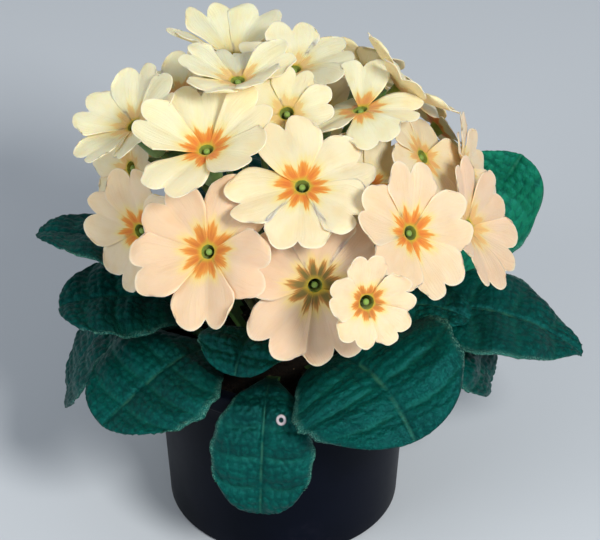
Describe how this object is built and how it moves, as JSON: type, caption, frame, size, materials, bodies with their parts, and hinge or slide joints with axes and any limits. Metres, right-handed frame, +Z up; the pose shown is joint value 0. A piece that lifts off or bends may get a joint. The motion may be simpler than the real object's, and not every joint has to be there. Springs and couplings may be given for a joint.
{
  "type": "potted primrose",
  "caption": "Potted primrose: a rosette of quilted leaves and a dome of notched five-petalled cream blooms with orange star eyes, in a tapered round plastic pot with a lip.",
  "frame": {"origin": "centre of the pot's base, on the surface it stands on", "axes": "+Z up along the pot's axis, -Y towards the side the picture shows as the front, +X to the viewer's right"},
  "size_m": [0.2246, 0.2, 0.2201],
  "materials": {
    "pot": "near-black aubergine plastic with a mild gloss",
    "soil": "dark moist potting soil, loose and rough",
    "stalk": "soft yellow-green stems and calyxes, finely downy",
    "petal": "soft translucent cream petals, peach on the lower blooms, with an orange star round a green throat",
    "leaf": "dark blue-green quilted leaf with paler veins and a soft sheen"
  },
  "bodies": {
    "root": {"pot": "pot", "soil": "soil", "flower_stalks": "stalk", "bloom_01": "petal", "bloom_02": "petal", "bloom_03": "petal", "bloom_04": "petal", "bloom_05": "petal", "bloom_06": "petal", "bloom_07": "petal", "bloom_08": "petal", "bloom_09": "petal", "bloom_10": "petal", "bloom_11": "petal", "bloom_12": "petal", "bloom_13": "petal", "bloom_14": "petal", "bloom_15": "petal", "bloom_16": "petal", "bloom_17": "petal", "bloom_18": "petal", "bloom_19": "petal", "bloom_20": "petal", "bloom_21": "petal", "bloom_22": "petal", "bloom_23": "petal", "bloom_24": "petal", "bloom_25": "petal", "bloom_26": "petal", "leaf_01": "leaf", "leaf_02": "leaf", "leaf_03": "leaf", "leaf_04": "leaf", "leaf_05": "leaf", "leaf_06": "leaf", "leaf_07": "leaf", "leaf_08": "leaf", "leaf_09": "leaf", "leaf_10": "leaf", "leaf_11": "leaf", "leaf_12": "leaf", "leaf_13": "leaf", "leaf_14": "leaf", "leaf_15": "leaf", "leaf_16": "leaf", "leaf_17": "leaf"}
  },
  "joints": []
}
